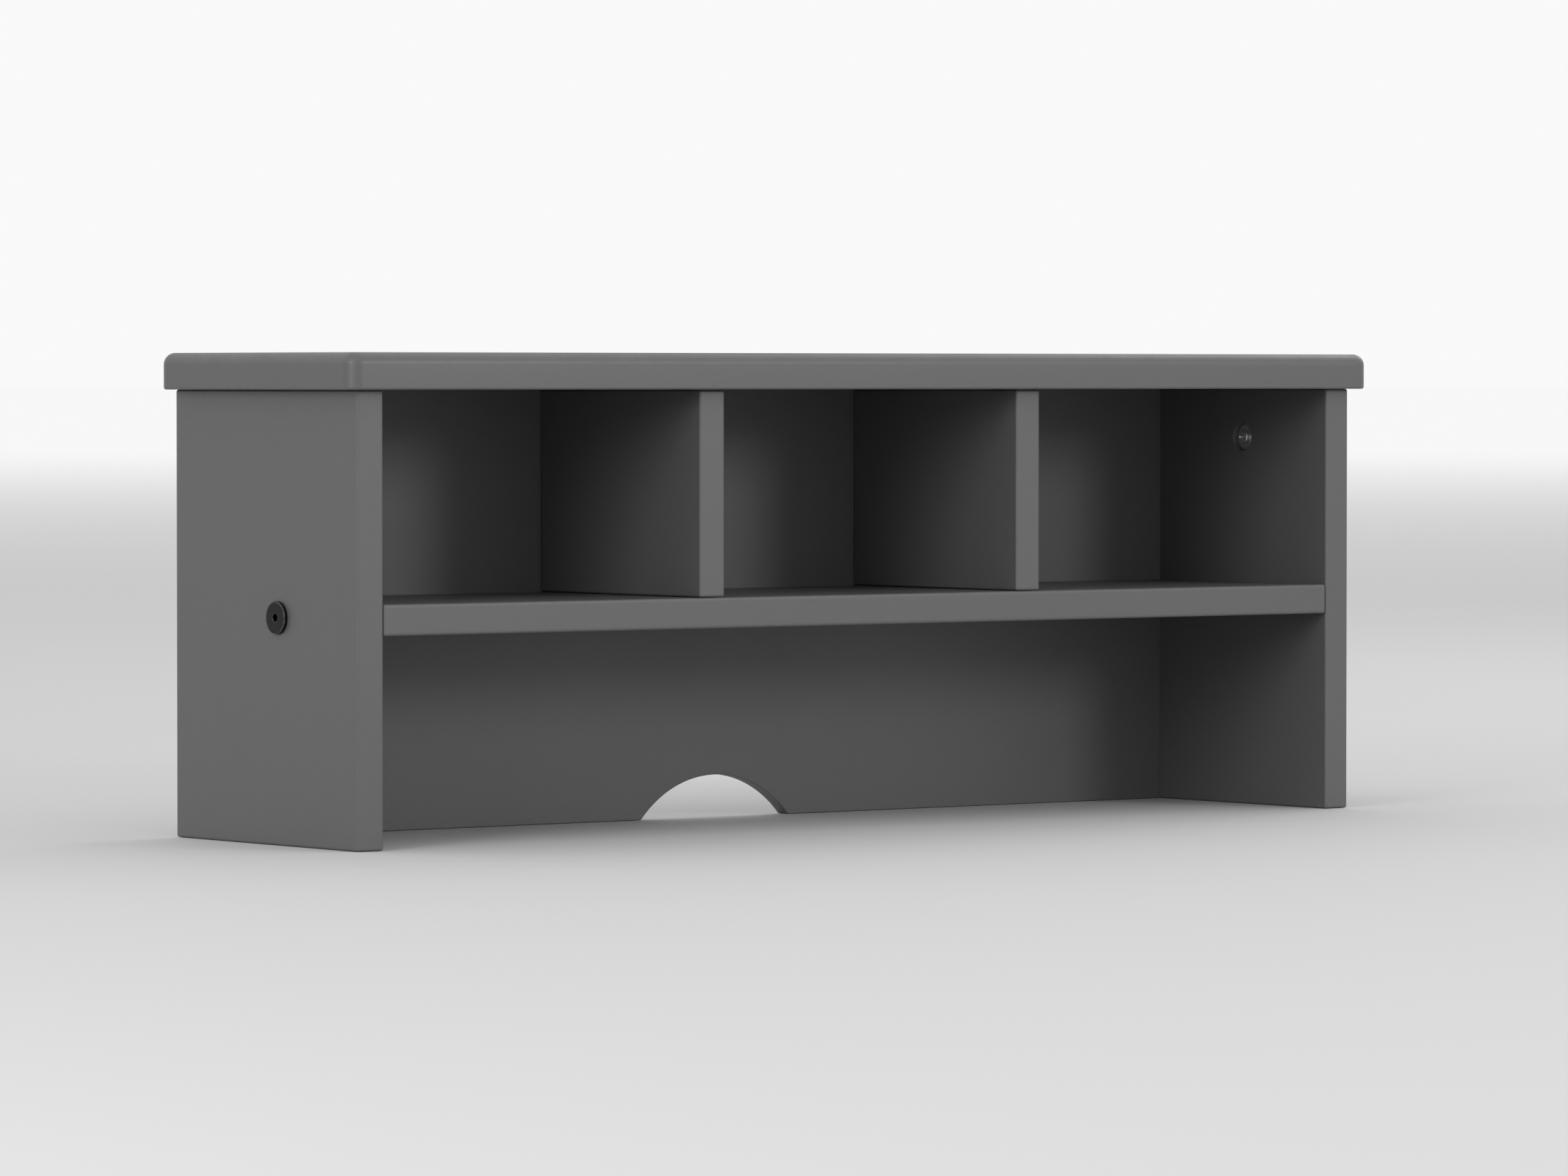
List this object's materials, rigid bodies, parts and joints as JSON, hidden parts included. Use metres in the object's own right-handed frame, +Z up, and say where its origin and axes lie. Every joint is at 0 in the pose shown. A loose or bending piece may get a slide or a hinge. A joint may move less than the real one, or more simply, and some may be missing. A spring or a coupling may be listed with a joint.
{
  "type": "desk hutch",
  "caption": "Low desk hutch: open cubbies over one long open bay, with an arched cable cutout in the back panel and a round-edged top board.",
  "frame": {"origin": "on the desk top, under the middle of the hutch's bounding box", "axes": "+X to the right seen from the open front, +Y to the back, +Z up"},
  "size_m": [0.684, 0.176, 0.251],
  "materials": {
    "grey_paint": "satin charcoal grey paint on board",
    "beech": "bare beech dowel",
    "black_steel": "black oxide steel, satin",
    "zinc": "bright zinc plate",
    "brass": "turned brass"
  },
  "bodies": {
    "root": {"top_board": "grey_paint", "shelf": "grey_paint", "back_panel": "grey_paint", "left_side": "grey_paint", "right_side": "grey_paint", "left_divider": "grey_paint", "right_divider": "grey_paint", "shelf_bolt_left": "black_steel", "shelf_bolt_right": "black_steel", "barrel_nut_left": "zinc", "barrel_nut_right": "zinc", "cam_left": "zinc", "cam_right": "zinc", "cam_pin_left": "zinc", "cam_pin_right": "zinc", "shelf_dowel_left_front": "beech", "shelf_dowel_left_rear": "beech", "shelf_dowel_right_front": "beech", "shelf_dowel_right_rear": "beech", "side_dowel_left_front": "beech", "side_dowel_left_rear": "beech", "side_dowel_right_front": "beech", "side_dowel_right_rear": "beech", "divider_dowel_left_front": "beech", "divider_dowel_left_rear": "beech", "divider_dowel_right_front": "beech", "divider_dowel_right_rear": "beech", "divider_screw_left_front": "zinc", "divider_screw_left_rear": "zinc", "divider_screw_right_front": "zinc", "divider_screw_right_rear": "zinc", "back_screw_left": "zinc", "back_screw_middle": "zinc", "back_screw_right": "zinc", "base_insert_left_front": "brass", "base_insert_left_rear": "brass", "base_insert_right_front": "brass", "base_insert_right_rear": "brass"}
  },
  "joints": []
}
